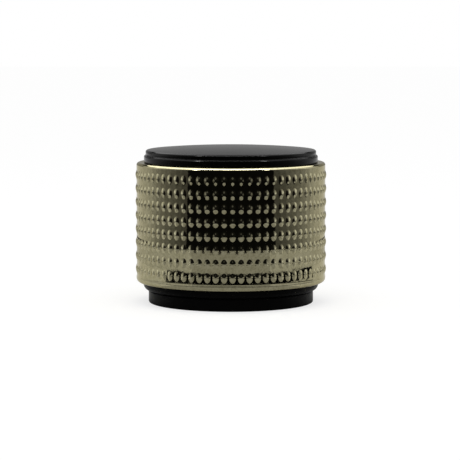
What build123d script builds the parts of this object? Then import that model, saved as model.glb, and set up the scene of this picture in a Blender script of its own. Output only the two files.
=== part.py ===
from build123d import *
import os
from math import cos, pi, radians, sin, tan

# Hand-twist grinder in a hobnail glass sleeve. All lengths are millimetres.
# The origin is the centre of the flat underside, and +Z is the axis that everything turns about.
# From the bottom up: a catcher dish, a collection chamber with a collar that carries the glass,
# a grinding chamber whose flange closes the glass from above, and a magnetic lid.
# Radii start from the glass and go inwards, and heights start from the table and go up.

# --- Driving dimensions -----------------------------------------------------------------------

# Glass sleeve
SLEEVE_RADIUS = 31.5        # outside, between the hobnails
SLEEVE_HEIGHT = 39.95
SLEEVE_WALL = 3.7
SLEEVE_SHOULDER = 0.85      # rounding of the top outer edge
SLEEVE_HEEL = 1.35          # rounding of the bottom outer edge
SLEEVE_INNER_EDGE = 0.3     # fire-polished inner edges
ROUNDING_STEPS = 3          # flats that make up each outer rounding

# Hobnails: low six-sided points in level rows and upright columns, side by side in a row
HOBNAIL_WIDTH = 2.75        # from column to column, round the sleeve
HOBNAIL_ROW_PITCH = 4.48
HOBNAIL_REACH = 1.9         # from the middle up or down to a hobnail's end
HOBNAIL_SIDE = 0.85         # from the middle up or down to the end of the side that two share
HOBNAIL_RISE = 0.35         # how far the point stands out of the glass
HOBNAIL_TOP_MARGIN = 4.1    # from the sleeve's top to the middle of the first row
HOBNAIL_FOOT_MARGIN = 4.2   # least distance from the middle of the last row to the sleeve's foot

# Catcher dish, the base that the grinder stands on
DISH_STEP = 1.75            # how far the base stands in from the collar
DISH_RIM_HEIGHT = 4.0       # part of the dish that shows below the collar
DISH_FLOOR = 1.6
DISH_NECK_WALL = 1.95
DISH_CORNER = 1.5           # rounding inside, between floor and wall
DISH_FOOT_WIDTH = 3.2       # ring that touches the table
DISH_FOOT_RELIEF = 0.3      # how far the middle of the underside is cut back
DISH_EDGE = 0.5

# Collection chamber
COLLAR_BEARING = 1.5        # how far the collar reaches out under the glass
COLLAR_HEIGHT = 2.65
COLLAR_EDGE = 2.1           # large rounding of the collar's lower edge
TUBE_WALL = 1.5
SCREEN_SHELF = 2.0          # how far the shelf under the screen stands in from the bore
SCREEN_SHELF_HEIGHT = 1.2
SCREEN_SHELF_GAP = 0.75     # from the dish's neck up to the shelf

# Screen
FRAME_WIDTH = 1.7
FRAME_HEIGHT = 1.4
MESH_THICKNESS = 0.2
MESH_GRIP = 0.95            # how far the mesh reaches into its frame
SNAP_RING_WIDTH = 1.5
SNAP_RING_HEIGHT = 0.7
SNAP_RING_GROOVE = 0.55     # depth of its groove in the wall
SNAP_RING_GAP = 7.0         # opening of the ring, to squeeze it by

# Threads, whose flanks are left as plain cylinders
THREAD_PITCH = 1.5
DISH_TURNS = 2.5
CHAMBER_TURNS = 3.0

# Grinding chamber
FLANGE_STEP = 0.3           # how far the flange stands in from the collar
FLANGE_HEIGHT = 2.2
FLANGE_EDGE = 0.7
CHAMBER_WALL = 2.05
LEDGE_THICKNESS = 2.4       # ledge that carries the tooth plate
LEDGE_WIDTH = 4.8
NECK_WALL = 1.55
NECK_SHOULDER = 1.7         # from the ledge's underside up to the step that meets the tube

# Lid
LID_STEP = 0.55             # how far the lid stands in from the flange
LID_RIM_HEIGHT = 0.95
LID_CROWN = 1.8             # rise of the domed top above its rim
LID_EDGE = 0.9
SPIGOT_DEPTH = 1.9
SPIGOT_WALL = 1.6

# Friction ring between lid and chamber
RING_LIP_THICKNESS = 0.3
RING_LIP_INSET = 0.45       # how far the lip stays inside the lid's edge
RING_LEG_WIDTH = 1.0
RING_LEG_HEIGHT = 1.9

# Tooth plates
LID_PLATE_THICKNESS = 2.1
CHAMBER_PLATE_THICKNESS = 2.4
TOOTH_WIDTH = 3.4           # across, along the radius
TOOTH_LENGTH = 5.4          # from edge to edge, along the way the tooth travels
TOOTH_HEIGHT = 7.2
TOOTH_DRAFT = 5.0           # degrees
TOOTH_TIP_GAP = 0.8
TOOTH_ROOT = 1.6            # straight root of a tooth, pressed into its plate
TRACK_PITCH = 4.45          # from one ring of teeth to the next, lid and chamber in turn
LID_TEETH = (5, 9)          # inner ring, outer ring
CHAMBER_TEETH = (7, 12)
POST_RADIUS = 5.0           # centre post that holds the chamber's magnet
POST_GAP = 0.3              # between the two magnets
DROP_HOLE_RADIUS = 1.8
DROP_HOLES = (5, 7, 14)     # in the first, second and third track

# Magnets and screws
MAGNET_RADIUS = 4.0
MAGNET_THICKNESS = 1.5
SCREW_RADIUS = 1.0
SCREW_HEAD_RADIUS = 1.9
SCREW_HEAD_HEIGHT = 1.0
SCREW_LENGTH = 3.5
SCREW_SOCKET = 0.6          # across-corner radius of the hexagon socket
SCREW_SOCKET_DEPTH = 0.6
SCREW_COUNT = 3

# Seals
GASKET_WIDTH = 1.15
GASKET_HEIGHT = 0.7
SEAL_WIDTH = 0.95
SEAL_HEIGHT = 1.1

# Clearances
TURNED_FIT = 0.05           # radial, between pieces that screw or turn in each other
SLIP_FIT = 0.1              # radial, round plates, magnets, rings and seals
GLASS_GAP = 0.4             # radial, between metal and glass
FACE_GAP = 0.15             # between faces that a seal holds apart
GASKET_PROUD = 0.1          # how far a gasket stands out of its groove

# --- Heights, from the table up ---------------------------------------------------------------

dish_top = DISH_RIM_HEIGHT + SEAL_HEIGHT + DISH_TURNS * THREAD_PITCH
collar_bottom = DISH_RIM_HEIGHT + FACE_GAP
collar_top = collar_bottom + COLLAR_HEIGHT
shelf_bottom = dish_top + SCREEN_SHELF_GAP
shelf_top = shelf_bottom + SCREEN_SHELF_HEIGHT
frame_top = shelf_top + FRAME_HEIGHT
sleeve_bottom = collar_top + GASKET_PROUD
sleeve_top = sleeve_bottom + SLEEVE_HEIGHT
flange_bottom = sleeve_top + GASKET_PROUD
flange_top = flange_bottom + FLANGE_HEIGHT
lid_bottom = flange_top + RING_LIP_THICKNESS
lid_rim_top = lid_bottom + LID_RIM_HEIGHT
lid_crown_top = lid_rim_top + LID_CROWN
spigot_bottom = lid_bottom - SPIGOT_DEPTH
floor_top = spigot_bottom - TOOTH_HEIGHT - TOOTH_TIP_GAP
floor_bottom = floor_top - CHAMBER_PLATE_THICKNESS
ledge_bottom = floor_bottom - LEDGE_THICKNESS
neck_shoulder = ledge_bottom + NECK_SHOULDER
tube_top = neck_shoulder - FACE_GAP
neck_bottom = tube_top - CHAMBER_TURNS * THREAD_PITCH

# --- Radii, from the glass inwards ------------------------------------------------------------

sleeve_bore = SLEEVE_RADIUS - SLEEVE_WALL
collar_radius = sleeve_bore + COLLAR_BEARING
flange_radius = collar_radius - FLANGE_STEP
lid_radius = flange_radius - LID_STEP
dish_radius = collar_radius - DISH_STEP
ring_lip_radius = lid_radius - RING_LIP_INSET
tube_radius = sleeve_bore - GLASS_GAP
tube_bore = tube_radius - TUBE_WALL
neck_radius = tube_bore - TURNED_FIT
chamber_bore = tube_radius - CHAMBER_WALL
ring_leg_radius = chamber_bore + RING_LEG_WIDTH
ring_seat_radius = ring_leg_radius + TURNED_FIT
spigot_radius = chamber_bore - TURNED_FIT
spigot_bore = spigot_radius - SPIGOT_WALL
ledge_bore = chamber_bore - LEDGE_WIDTH
frame_radius = tube_bore - SLIP_FIT
outer_track = chamber_bore - TOOTH_WIDTH / 2 - TOOTH_TIP_GAP - SLIP_FIT
tracks = [outer_track - TRACK_PITCH * step for step in (3, 2, 1, 0)]
lid_rings = [(track, count, 0) for track, count in zip(tracks[0::2], LID_TEETH)]
chamber_rings = [(track, count, 180 / count) for track, count in zip(tracks[1::2], CHAMBER_TEETH)]
chamber_screw_radius = ledge_bore + LEDGE_WIDTH / 2
chamber_root = Pos(0, 0, floor_top)                  # where the chamber's teeth stand
lid_root = Pos(0, 0, spigot_bottom) * Rot(180, 0, 0)  # and where the lid's teeth hang from


# --- Ways of shaping --------------------------------------------------------------------------

def turned(*points):
    """A solid turned about Z from corner points (radius, height)."""
    section = Plane.XZ * make_face(Polyline(*points, close=True))
    return revolve(section, Axis.Z)


def ring(inner, outer, bottom, top):
    """A plain ring of rectangular section."""
    return turned((inner, bottom), (outer, bottom), (outer, top), (inner, top))


def disc(radius, bottom, top):
    """A plain disc."""
    return Pos(0, 0, bottom) * extrude(Circle(radius), top - bottom)


def edge_at(solid, radius, height):
    """The round edges of a turned solid that have this radius and lie at this height."""
    near = 0.01
    circles = solid.edges().filter_by(GeomType.CIRCLE)
    return [e for e in circles if abs(e.radius - radius) < near and abs(e.center().Z - height) < near]


def screws_around(radius, height, shape):
    """Copies of a screw or its hole, at the places of one plate's screws."""
    return PolarLocations(radius, SCREW_COUNT) * (Pos(0, 0, height) * shape)


def countersunk_screw():
    """A screw with its flat head at z = 0 and its tip pointing up."""
    head = Cone(SCREW_HEAD_RADIUS, SCREW_RADIUS, SCREW_HEAD_HEIGHT, align=(Align.CENTER, Align.CENTER, Align.MIN))
    shank = disc(SCREW_RADIUS, SCREW_HEAD_HEIGHT, SCREW_LENGTH)
    socket = extrude(RegularPolygon(SCREW_SOCKET, 6), SCREW_SOCKET_DEPTH)
    return head + shank - socket


def screw_hole(depth):
    """The cut that takes one screw, from its head's face up to a depth."""
    reach = SCREW_HEAD_HEIGHT + SLIP_FIT
    sink = Cone(SCREW_HEAD_RADIUS + SLIP_FIT, SCREW_RADIUS, reach, align=(Align.CENTER, Align.CENTER, Align.MIN))
    return sink + disc(SCREW_RADIUS + TURNED_FIT, 0, depth)


def diamond():
    """Footprint of a tooth, a diamond that is longest along its travel."""
    corners = [(TOOTH_WIDTH / 2, 0), (0, TOOTH_LENGTH / 2), (-TOOTH_WIDTH / 2, 0), (0, -TOOTH_LENGTH / 2)]
    return make_face(Polyline(*corners, close=True))


def tooth_root():
    """Straight root of a tooth, below z = 0. It is also the cut that takes it."""
    return extrude(diamond(), -TOOTH_ROOT)


def tooth():
    """A tooth that narrows upwards to its tip, above z = 0, with its root below."""
    return extrude(diamond(), TOOTH_HEIGHT, taper=TOOTH_DRAFT) + tooth_root()


def in_rings(rings, shape):
    """Copies of a tooth or its root round the axis, from each ring's (radius, count, first angle)."""
    return [copy for radius, count, first in rings for copy in PolarLocations(radius, count, first) * shape]


# --- Pieces of the jar ------------------------------------------------------------------------

def make_glass_sleeve():
    """The pressed-glass sleeve, trapped between collar and flange.

    Its outside is a ring of equal upright panels, one for each column of hobnails. One panel is
    made as it faces +X, and its copies are sewn to the bore and the two rims.
    """
    columns = round(2 * pi * SLEEVE_RADIUS / HOBNAIL_WIDTH)
    half_turn = 180 / columns
    panel = panel_faces(half_turn)
    outside = [Rot(0, 0, 2 * half_turn * column) * face for column in range(columns) for face in panel]
    bore = Solid.make_cylinder(sleeve_bore, SLEEVE_HEIGHT, Plane((0, 0, sleeve_bottom)))
    wall = bore.faces().filter_by(GeomType.CYLINDER)
    rims = [
        rim_face(SLEEVE_RADIUS - SLEEVE_SHOULDER, sleeve_top, columns),
        rim_face(SLEEVE_RADIUS - SLEEVE_HEEL, sleeve_bottom, columns),
    ]
    sleeve = Solid(Shell(outside + rims + wall))
    inner_edges = edge_at(sleeve, sleeve_bore, sleeve_top) + edge_at(sleeve, sleeve_bore, sleeve_bottom)
    return fillet(inner_edges, SLEEVE_INNER_EDGE)


def flat_face(*corners):
    """A flat face from its corners."""
    return Face(Wire.make_polygon([Vector(*corner) for corner in corners], close=True))


def rim_face(radius, height, columns):
    """The flat end of the sleeve, between its panels and its bore."""
    panels = RegularPolygon(radius, columns, major_radius=False, rotation=180 / columns)
    return Pos(0, 0, height) * (panels - Circle(sleeve_bore)).face()


def panel_faces(half_turn):
    """All outside faces of the panel that faces +X."""
    side = SLEEVE_RADIUS * tan(radians(half_turn))
    rows = 1 + int((SLEEVE_HEIGHT - HOBNAIL_TOP_MARGIN - HOBNAIL_FOOT_MARGIN) / HOBNAIL_ROW_PITCH)
    middles = [sleeve_top - HOBNAIL_TOP_MARGIN - HOBNAIL_ROW_PITCH * row for row in range(rows)]
    faces = []
    for middle in middles:
        faces += hobnail_faces(side, middle)
    upper_ends = [[(side, sleeve_top - SLEEVE_SHOULDER), (-side, sleeve_top - SLEEVE_SHOULDER)]]
    upper_ends += [hobnail_end(side, middle, -1) for middle in middles]
    lower_ends = [hobnail_end(side, middle, 1) for middle in middles]
    lower_ends += [[(side, sleeve_bottom + SLEEVE_HEEL), (-side, sleeve_bottom + SLEEVE_HEEL)]]
    for upper, lower in zip(upper_ends, lower_ends):
        outline = upper + lower[::-1]
        faces.append(flat_face(*[(SLEEVE_RADIUS, across, height) for across, height in outline]))
    faces += rounding_faces(half_turn, SLEEVE_SHOULDER, sleeve_top - SLEEVE_SHOULDER, 1)
    faces += rounding_faces(half_turn, SLEEVE_HEEL, sleeve_bottom + SLEEVE_HEEL, -1)
    return faces


def hobnail_end(side, middle, way):
    """Footprint corners of a hobnail's upper (way 1) or lower (way -1) end, from +Y to -Y."""
    shoulder = middle + way * HOBNAIL_SIDE
    return [(side, shoulder), (0, middle + way * HOBNAIL_REACH), (-side, shoulder)]


def hobnail_faces(side, middle):
    """The six sloping sides of one hobnail."""
    footprint = hobnail_end(side, middle, 1) + hobnail_end(side, middle, -1)[::-1]
    point = (SLEEVE_RADIUS + HOBNAIL_RISE, 0, middle)
    corners = [(SLEEVE_RADIUS, across, height) for across, height in footprint]
    return [flat_face(a, b, point) for a, b in zip(corners, corners[1:] + corners[:1])]


def rounding_faces(half_turn, rounding, level, way):
    """Flats that round the sleeve's top (way 1) or bottom (way -1) outer edge."""
    steps = [90 * step / ROUNDING_STEPS for step in range(ROUNDING_STEPS + 1)]
    radii = [SLEEVE_RADIUS - rounding * (1 - cos(radians(angle))) for angle in steps]
    heights = [level + way * rounding * sin(radians(angle)) for angle in steps]
    sides = [radius * tan(radians(half_turn)) for radius in radii]
    lines = list(zip(radii, sides, heights))
    return [
        flat_face((r0, s0, z0), (r0, -s0, z0), (r1, -s1, z1), (r1, s1, z1))
        for (r0, s0, z0), (r1, s1, z1) in zip(lines, lines[1:])
    ]


def make_collection_chamber():
    """The tube that catches what has been ground. Its collar carries the glass."""
    gasket_bottom = collar_top - GASKET_HEIGHT + GASKET_PROUD
    body = turned(
        (tube_bore, collar_bottom),
        (collar_radius, collar_bottom),
        (collar_radius, collar_top),
        (tube_radius + GASKET_WIDTH + SLIP_FIT, collar_top),
        (tube_radius + GASKET_WIDTH + SLIP_FIT, gasket_bottom),
        (tube_radius, gasket_bottom),
        (tube_radius, tube_top),
        (tube_bore, tube_top),
        (tube_bore, shelf_top),
        (tube_bore - SCREEN_SHELF, shelf_top),
        (tube_bore - SCREEN_SHELF, shelf_bottom),
        (tube_bore, shelf_bottom),
    )
    seal_seat_radius = tube_bore + SEAL_WIDTH + SLIP_FIT
    rounding = min(COLLAR_EDGE, 0.9 * (collar_radius - seal_seat_radius), 0.9 * COLLAR_HEIGHT)
    body = fillet(edge_at(body, collar_radius, collar_bottom), rounding)
    seal_seat = ring(0, seal_seat_radius, collar_bottom, DISH_RIM_HEIGHT + SEAL_HEIGHT)
    snap_groove = ring(0, tube_bore + SNAP_RING_GROOVE, frame_top, frame_top + SNAP_RING_HEIGHT + TURNED_FIT)
    return body - seal_seat - snap_groove


def make_lower_gasket():
    """Soft ring under the glass, in the collar's groove."""
    bottom = collar_top - GASKET_HEIGHT + GASKET_PROUD
    return ring(tube_radius + TURNED_FIT, tube_radius + GASKET_WIDTH, bottom, sleeve_bottom)


def make_screen_frame():
    """Ring that grips the edge of the mesh in a slot."""
    middle = (shelf_top + frame_top) / 2
    frame_bore = frame_radius - FRAME_WIDTH
    frame = ring(frame_bore, frame_radius, shelf_top, frame_top)
    return frame - disc(frame_bore + MESH_GRIP, middle - MESH_THICKNESS / 2, middle + MESH_THICKNESS / 2)


def make_screen_mesh():
    """Fine woven mesh, flat between the two lips of its frame."""
    middle = (shelf_top + frame_top) / 2
    mesh_radius = frame_radius - FRAME_WIDTH + MESH_GRIP
    return disc(mesh_radius, middle - MESH_THICKNESS / 2, middle + MESH_THICKNESS / 2)


def make_screen_snap_ring():
    """Open spring ring in the wall's groove, which holds the screen down on its shelf."""
    outer = tube_bore + SNAP_RING_GROOVE - TURNED_FIT
    closed = ring(outer - SNAP_RING_WIDTH, outer, frame_top, frame_top + SNAP_RING_HEIGHT)
    slot = Pos(outer, 0, frame_top) * Box(outer, SNAP_RING_GAP, 4 * SNAP_RING_HEIGHT)
    return closed - slot


# --- Pieces of the catcher --------------------------------------------------------------------

def make_catcher_dish():
    """Shallow dish that screws up into the collection chamber and is the grinder's base."""
    dish_bore = neck_radius - DISH_NECK_WALL
    foot_radius = dish_radius - DISH_FOOT_WIDTH
    dish = turned(
        (0, DISH_FOOT_RELIEF),
        (foot_radius, DISH_FOOT_RELIEF),
        (foot_radius, 0),
        (dish_radius, 0),
        (dish_radius, DISH_RIM_HEIGHT),
        (neck_radius, DISH_RIM_HEIGHT),
        (neck_radius, dish_top),
        (dish_bore, dish_top),
        (dish_bore, DISH_FLOOR),
        (0, DISH_FLOOR),
    )
    dish = fillet(edge_at(dish, dish_bore, DISH_FLOOR), DISH_CORNER)
    return fillet(edge_at(dish, dish_radius, 0), DISH_EDGE)


def make_catcher_seal():
    """Soft ring round the dish's neck, pressed between its rim and the collar."""
    inner = neck_radius + TURNED_FIT
    return ring(inner, tube_bore + SEAL_WIDTH, DISH_RIM_HEIGHT, DISH_RIM_HEIGHT + SEAL_HEIGHT)


# --- Pieces of the grinding chamber -----------------------------------------------------------

def make_grinding_chamber():
    """Cup wall with the flange that closes the glass, the plate's ledge and the threaded neck."""
    neck_bore = neck_radius - NECK_WALL
    gasket_top = flange_bottom + GASKET_HEIGHT - GASKET_PROUD
    cup = turned(
        (neck_bore, neck_bottom),
        (neck_radius, neck_bottom),
        (neck_radius, neck_shoulder),
        (tube_radius, neck_shoulder),
        (tube_radius, gasket_top),
        (tube_radius + GASKET_WIDTH + SLIP_FIT, gasket_top),
        (tube_radius + GASKET_WIDTH + SLIP_FIT, flange_bottom),
        (flange_radius, flange_bottom),
        (flange_radius, flange_top),
        (ring_seat_radius, flange_top),
        (ring_seat_radius, flange_top - RING_LEG_HEIGHT),
        (chamber_bore, flange_top - RING_LEG_HEIGHT),
        (chamber_bore, floor_bottom),
        (ledge_bore, floor_bottom),
        (ledge_bore, ledge_bottom),
        (neck_bore, ledge_bottom),
    )
    cup = fillet(edge_at(cup, flange_radius, flange_top), FLANGE_EDGE)
    return cup - screws_around(chamber_screw_radius, ledge_bottom, screw_hole(LEDGE_THICKNESS))


def make_upper_gasket():
    """Soft ring on top of the glass, in the flange's groove."""
    top = flange_bottom + GASKET_HEIGHT - GASKET_PROUD
    return ring(tube_radius + TURNED_FIT, tube_radius + GASKET_WIDTH, sleeve_top, top)


def make_chamber_tooth_plate():
    """Floor of the grinding chamber, with its drop holes and the magnet's post."""
    plate = disc(chamber_bore - SLIP_FIT, floor_bottom, floor_top)
    post = disc(POST_RADIUS, floor_top, spigot_bottom - POST_GAP)
    pocket = disc(MAGNET_RADIUS + SLIP_FIT, spigot_bottom - POST_GAP - MAGNET_THICKNESS, spigot_bottom)
    plate = plate + post - pocket - in_rings(chamber_rings, chamber_root * tooth_root())
    for track, count in zip(tracks, DROP_HOLES):
        plate -= PolarLocations(track, count) * disc(DROP_HOLE_RADIUS, floor_bottom, floor_top)
    return plate - screws_around(chamber_screw_radius, ledge_bottom, disc(SCREW_RADIUS, 0, SCREW_LENGTH))


def make_chamber_teeth():
    """Hardened teeth pressed into the chamber's plate, pointing up."""
    return Compound(children=in_rings(chamber_rings, chamber_root * tooth()))


def make_chamber_magnet():
    """Disc magnet in the top of the centre post."""
    top = spigot_bottom - POST_GAP
    return disc(MAGNET_RADIUS, top - MAGNET_THICKNESS, top)


def make_chamber_plate_screws():
    """Screws up through the ledge into the tooth plate."""
    return Compound(children=screws_around(chamber_screw_radius, ledge_bottom, countersunk_screw()))


# --- Pieces of the lid ------------------------------------------------------------------------

def make_friction_ring():
    """Low-friction ring in the chamber's mouth, which the lid turns on."""
    return turned(
        (chamber_bore, flange_top - RING_LEG_HEIGHT),
        (ring_leg_radius, flange_top - RING_LEG_HEIGHT),
        (ring_leg_radius, flange_top),
        (ring_lip_radius, flange_top),
        (ring_lip_radius, lid_bottom),
        (chamber_bore, lid_bottom),
    )


def make_lid_cap():
    """Domed cap with the spigot that centres it in the chamber."""
    plate_top = spigot_bottom + LID_PLATE_THICKNESS
    outline = Polyline(
        (0, lid_crown_top),
        (0, plate_top),
        (spigot_bore, plate_top),
        (spigot_bore, spigot_bottom),
        (spigot_radius, spigot_bottom),
        (spigot_radius, lid_bottom),
        (lid_radius, lid_bottom),
        (lid_radius, lid_rim_top),
    )
    middle = lid_crown_top - LID_CROWN / 4
    dome = ThreePointArc((lid_radius, lid_rim_top), (lid_radius / 2, middle), (0, lid_crown_top))
    cap = revolve(Plane.XZ * make_face(outline + dome), Axis.Z)
    cap = fillet(edge_at(cap, lid_radius, lid_rim_top), LID_EDGE)
    return cap - screws_around(tracks[1], spigot_bottom, disc(SCREW_RADIUS, 0, SCREW_LENGTH))


def make_lid_tooth_plate():
    """Plate under the lid that holds its teeth."""
    plate = disc(spigot_bore - SLIP_FIT, spigot_bottom, spigot_bottom + LID_PLATE_THICKNESS)
    plate -= disc(MAGNET_RADIUS + SLIP_FIT, spigot_bottom, spigot_bottom + MAGNET_THICKNESS)
    plate -= in_rings(lid_rings, lid_root * tooth_root())
    return plate - screws_around(tracks[1], spigot_bottom, screw_hole(LID_PLATE_THICKNESS))


def make_lid_teeth():
    """Hardened teeth pressed into the lid's plate, pointing down between the chamber's rings."""
    return Compound(children=in_rings(lid_rings, lid_root * tooth()))


def make_lid_magnet():
    """Disc magnet flush with the underside of the lid's tooth plate."""
    return disc(MAGNET_RADIUS, spigot_bottom, spigot_bottom + MAGNET_THICKNESS)


def make_lid_plate_screws():
    """Screws up through the tooth plate into the cap."""
    return Compound(children=screws_around(tracks[1], spigot_bottom, countersunk_screw()))


PIECES = {
    "glass_sleeve": make_glass_sleeve,
    "collection_chamber": make_collection_chamber,
    "lower_gasket": make_lower_gasket,
    "screen_frame": make_screen_frame,
    "screen_mesh": make_screen_mesh,
    "screen_snap_ring": make_screen_snap_ring,
    "catcher_dish": make_catcher_dish,
    "catcher_seal": make_catcher_seal,
    "grinding_chamber": make_grinding_chamber,
    "upper_gasket": make_upper_gasket,
    "chamber_tooth_plate": make_chamber_tooth_plate,
    "chamber_teeth": make_chamber_teeth,
    "chamber_magnet": make_chamber_magnet,
    "chamber_plate_screws": make_chamber_plate_screws,
    "friction_ring": make_friction_ring,
    "lid_cap": make_lid_cap,
    "lid_tooth_plate": make_lid_tooth_plate,
    "lid_teeth": make_lid_teeth,
    "lid_magnet": make_lid_magnet,
    "lid_plate_screws": make_lid_plate_screws,
}

os.makedirs("parts", exist_ok=True)
for node, make in PIECES.items():
    shape = make()
    export_step(shape, f"parts/{node}.step")
    print(f"{node}: {shape.volume:.1f} mm3")
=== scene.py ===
# %% [markdown]
# # A hand grinder in a sleeve of hobnail glass
#
# This grinder is a stack of turned aluminium pieces. A sleeve of pressed glass with a thin gold
# coat stands round the middle of the stack, and two black pieces clamp it from above and below.
# The solid model gives every piece its size and its place. This file gives the pieces the look of
# the real ones: rounded edges that catch the light, threads, hobnails, and a finish for each.
#
# Blender works in metres. The pieces are small, so their radii, heights and roundings are written
# in millimetres, and each helper turns them into metres by multiplying with `MM`. The cards, the
# lamp and the camera round them are larger and are written in metres.

# %% Load the frame
from contextlib import contextmanager
from math import cos, hypot, pi, radians, sin, sqrt

import bmesh
import bpy
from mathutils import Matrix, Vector


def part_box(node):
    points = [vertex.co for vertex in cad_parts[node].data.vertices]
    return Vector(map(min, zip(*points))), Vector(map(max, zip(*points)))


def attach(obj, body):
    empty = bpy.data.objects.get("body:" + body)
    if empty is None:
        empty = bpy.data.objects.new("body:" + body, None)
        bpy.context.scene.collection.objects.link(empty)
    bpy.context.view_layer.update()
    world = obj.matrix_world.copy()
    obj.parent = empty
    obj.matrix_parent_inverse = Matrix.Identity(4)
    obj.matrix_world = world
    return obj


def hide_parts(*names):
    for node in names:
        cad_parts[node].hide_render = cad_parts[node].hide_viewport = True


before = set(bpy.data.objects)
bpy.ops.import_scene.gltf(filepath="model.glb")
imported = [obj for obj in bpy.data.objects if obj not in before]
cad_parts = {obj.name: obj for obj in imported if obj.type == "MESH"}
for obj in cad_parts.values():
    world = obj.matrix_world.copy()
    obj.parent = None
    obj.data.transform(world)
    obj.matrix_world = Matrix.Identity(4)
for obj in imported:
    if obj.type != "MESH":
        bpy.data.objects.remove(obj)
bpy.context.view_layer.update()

MM = 0.001


def box_of(node):
    """A solid's lowest and highest corners, in millimetres."""
    low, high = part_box(node)
    return low / MM, high / MM


print("nodes:", len(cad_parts))

# %% [markdown]
# ## Working by hand, in code
#
# Blender's operators act on whatever is selected, so each step starts from a clean selection.
# `editing` opens a piece in edit mode and closes it again, and `pick` selects vertices, edges or
# faces by where they are, as a modeller does with a box or a click. Operators could be skipped by
# writing vertices straight into a mesh, but then nothing of it could be repeated by hand.

# %% Selecting and editing
SAME_POINT = 0.001 * MM


def deselect():
    """Object mode, with nothing selected."""
    if bpy.context.object and bpy.context.object.mode != "OBJECT":
        bpy.ops.object.mode_set(mode="OBJECT")
    bpy.ops.object.select_all(action="DESELECT")


def activate(piece):
    """Only this piece is selected, and it is the active one."""
    deselect()
    piece.select_set(True)
    bpy.context.view_layer.objects.active = piece


@contextmanager
def editing(piece, mode="VERT"):
    """Edit mode on one piece, in a vertex, edge or face selection mode."""
    activate(piece)
    bpy.ops.object.mode_set(mode="EDIT")
    bpy.ops.mesh.select_mode(type=mode)
    yield
    bpy.ops.object.mode_set(mode="OBJECT")


def pick(piece, kind, test):
    """In edit mode, selects only those verts, edges or faces that pass a test, and counts them."""
    bpy.ops.mesh.select_all(action="DESELECT")
    mesh = bmesh.from_edit_mesh(piece.data)
    chosen = [part for part in getattr(mesh, kind) if test(part)]
    for part in chosen:
        part.select_set(True)
    bmesh.update_edit_mesh(piece.data)
    return len(chosen)


def clean():
    """In edit mode, merges doubles and turns every face outwards."""
    bpy.ops.mesh.select_all(action="SELECT")
    bpy.ops.mesh.remove_doubles(threshold=SAME_POINT)
    bpy.ops.mesh.normals_make_consistent(inside=False)

# %% [markdown]
# ## Finishing a piece
#
# A finished piece has its place in its mesh, so `settle` applies its location, turn and scale.
# `smooth` shades it: curved faces blend into each other, and true edges stay crisp. Subdivision
# would smooth it too, but turned metal has exact edges that subdivision would soften. `told`
# prints how large the piece has become.

# %% Settling, joining and smoothing
def settle(piece):
    """Moves a piece's place, turn and scale from its object into its mesh."""
    activate(piece)
    bpy.ops.object.transform_apply(location=True, rotation=True, scale=True)


def join(pieces, name):
    """One object of several, named anew."""
    deselect()
    for piece in pieces:
        piece.select_set(True)
    bpy.context.view_layer.objects.active = pieces[0]
    bpy.ops.object.join()
    pieces[0].name = name
    return pieces[0]


def smooth(piece, angle=32, weighted=True):
    """Smooth shading, apart from edges sharper than an angle. Weighted normals keep large flat and
    straight faces true beside their small roundings, so that reflections in them aren't bent."""
    activate(piece)
    bpy.ops.object.shade_smooth_by_angle(angle=radians(angle))
    if weighted:
        by_area = piece.modifiers.new("Weighted normals", "WEIGHTED_NORMAL")
        by_area.keep_sharp = True
        bpy.ops.object.modifier_apply(modifier=by_area.name)


def told(piece):
    """Prints what a piece has become."""
    low, high = Vector(piece.bound_box[0]) / MM, Vector(piece.bound_box[6]) / MM
    print(f"{piece.name}: {len(piece.data.polygons)} faces, {high.x - low.x:.2f} mm wide, "
          f"from z {low.z:.2f} to {high.z:.2f} mm")

# %% [markdown]
# ## Turning on the lathe
#
# The large metal pieces were turned on a lathe, and the pressed glass is round as well, so they
# are modelled the way a lathe works. A single point is extruded step by step along the outline of
# the piece, and the outline is then spun round the upright axis. Modelling from a cylinder
# primitive would also work, but an outline keeps every step, groove and rim at its real size. Real
# edges are never knife sharp: `round_corner` bevels one ring edge, and that thin rounding is what
# catches a line of light.

# %% The lathe
def point_at(name, radius, height):
    """A new piece that is one single vertex."""
    deselect()
    bpy.ops.mesh.primitive_plane_add(size=MM, location=(radius * MM, 0, height * MM))
    piece = bpy.context.object
    piece.name = name
    settle(piece)
    with editing(piece):
        bpy.ops.mesh.select_all(action="SELECT")
        bpy.ops.mesh.merge(type="CENTER")
    return piece


def trace(outline):
    """In edit mode, extrudes the selected vertex along (radius, height) points."""
    for (r0, z0), (r1, z1) in zip(outline, outline[1:]):
        step = ((r1 - r0) * MM, 0, (z1 - z0) * MM)
        bpy.ops.mesh.extrude_region_move(TRANSFORM_OT_translate={"value": step})


def turned(name, outline, segments=192):
    """A piece turned round Z, from the (radius, height) points of its closed outline."""
    piece = point_at(name, *outline[0])
    with editing(piece):
        bpy.ops.mesh.select_all(action="SELECT")
        trace(outline + outline[:1])
        bpy.ops.mesh.select_all(action="SELECT")
        bpy.ops.mesh.spin(steps=segments, angle=2 * pi, center=(0, 0, 0), axis=(0, 0, 1))
        clean()
    return piece


def round_corner(piece, radius, height, size, steps=3):
    """Bevels the ring edge at this radius and height."""
    close = 0.01 * MM

    def on_ring(vertex):
        return (abs(hypot(vertex.co.x, vertex.co.y) - radius * MM) < close
                and abs(vertex.co.z - height * MM) < close)

    with editing(piece, "EDGE"):
        found = pick(piece, "edges", lambda edge: all(on_ring(end) for end in edge.verts))
        if not found:
            raise ValueError(f"{piece.name} has no edge at radius {radius} and height {height}")
        bpy.ops.mesh.bevel(offset=size * MM, segments=steps, affect="EDGES")

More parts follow.
